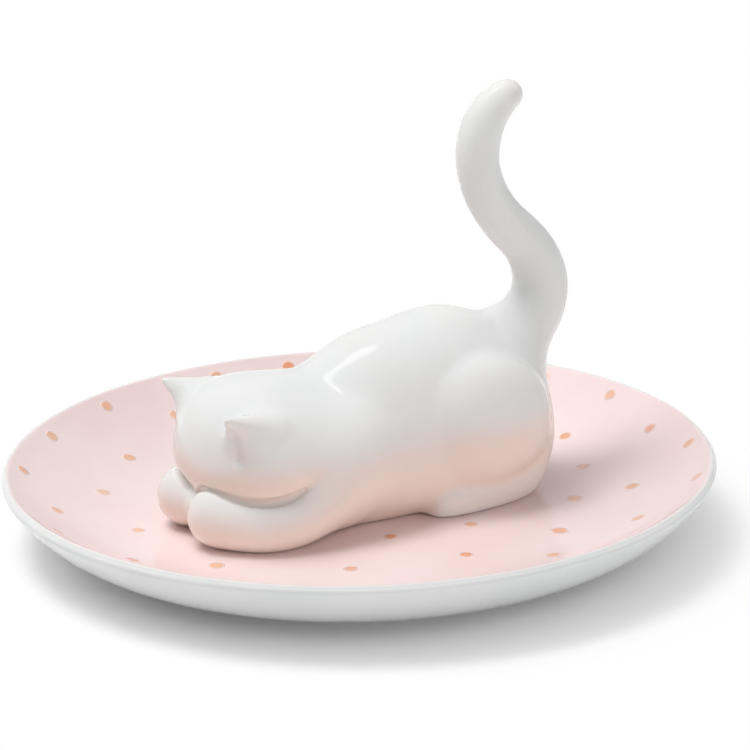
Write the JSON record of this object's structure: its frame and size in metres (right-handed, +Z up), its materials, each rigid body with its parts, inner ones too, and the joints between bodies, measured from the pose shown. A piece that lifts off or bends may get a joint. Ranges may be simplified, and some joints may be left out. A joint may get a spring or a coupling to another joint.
{
  "type": "ring dish",
  "caption": "Round glazed ceramic dish with a stretching cat on its floor, whose raised curved tail holds finger rings.",
  "frame": {"origin": "centre of the dish on the surface it stands on", "axes": "+Z up; the cat looks along -X and its raised tail is towards +X; its left side is on -Y"},
  "size_m": [0.13, 0.13, 0.0807],
  "materials": {
    "white_glaze": "gloss",
    "pink_glaze": "gloss",
    "orange_enamel": "gloss"
  },
  "bodies": {
    "root": {"cat_torso": "white_glaze", "cat_head": "white_glaze", "cat_left_ear": "white_glaze", "cat_right_ear": "white_glaze", "cat_left_foreleg": "white_glaze", "cat_right_foreleg": "white_glaze", "cat_left_hind_leg": "white_glaze", "cat_right_hind_leg": "white_glaze", "cat_tail": "white_glaze", "dish": "white_glaze", "dish_lining": "pink_glaze", "dish_dots": "orange_enamel"}
  },
  "joints": []
}
